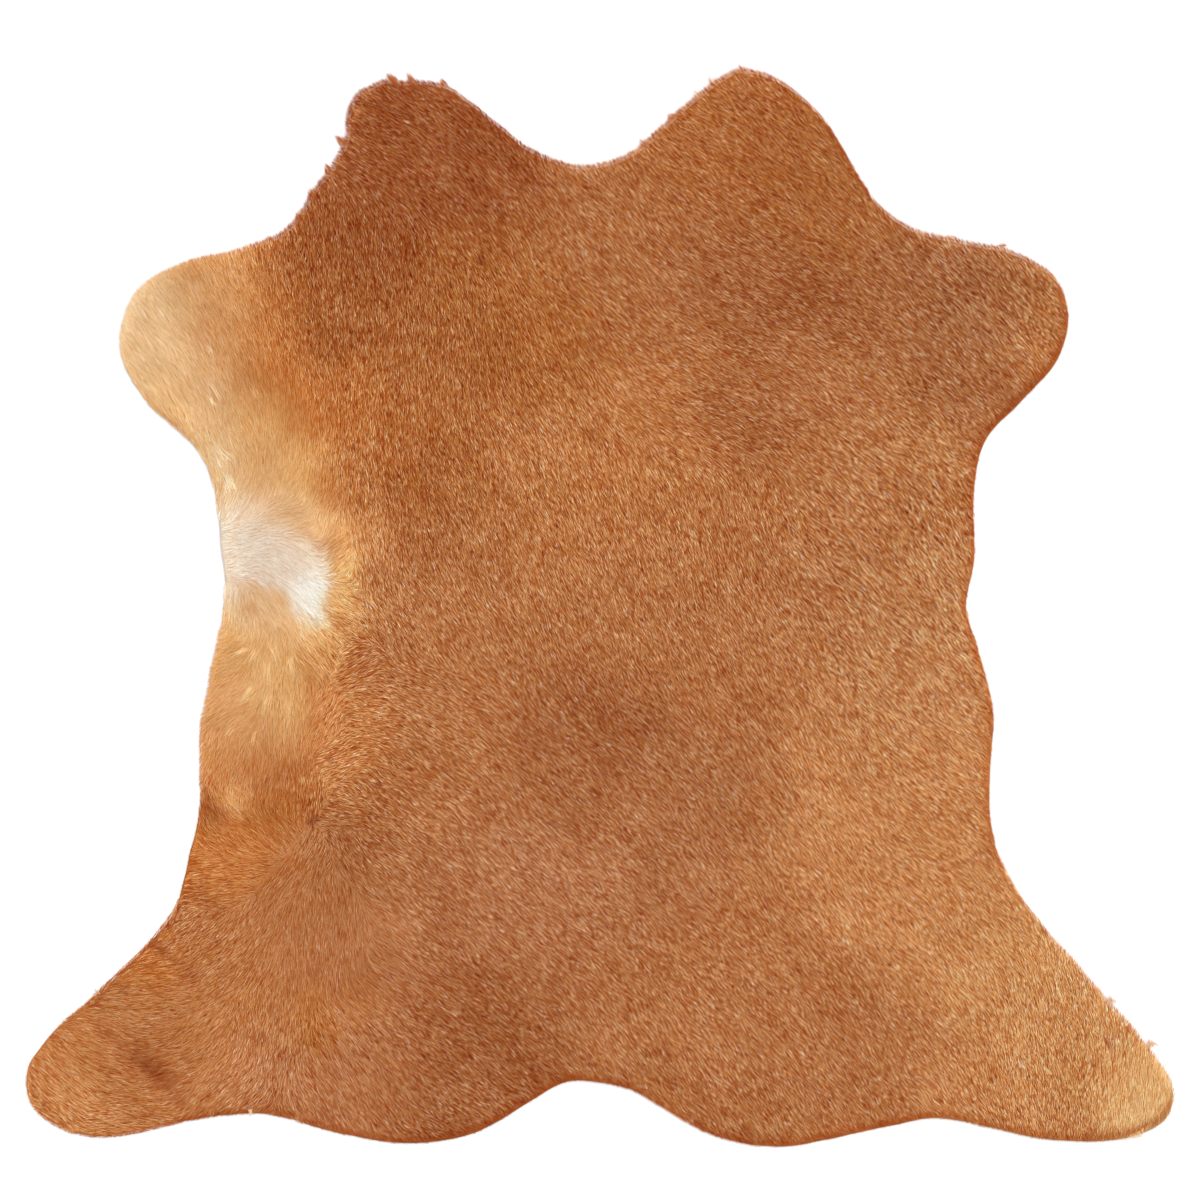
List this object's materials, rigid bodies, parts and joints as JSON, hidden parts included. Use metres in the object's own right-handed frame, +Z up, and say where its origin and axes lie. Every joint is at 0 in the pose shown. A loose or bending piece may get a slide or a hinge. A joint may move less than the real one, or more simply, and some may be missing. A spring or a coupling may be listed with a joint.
{
  "type": "cowhide rug",
  "caption": "Small natural cowhide rug lying flat, with neck lobes, fore legs, waist and flared hind legs, and a short brown coat.",
  "frame": {"origin": "middle of the rug's box, on the underside that lies on the floor", "axes": "+Z up out of the coat, +Y towards the neck, +X towards the hide's right side as seen from above"},
  "size_m": [0.9994, 0.9408, 0.0061],
  "materials": {
    "coat": "short lying cattle hair, brandy brown, pale on the left flank",
    "skin": "buffed suede flesh side and cut edge"
  },
  "bodies": {
    "root": {"hide": "coat"}
  },
  "joints": []
}
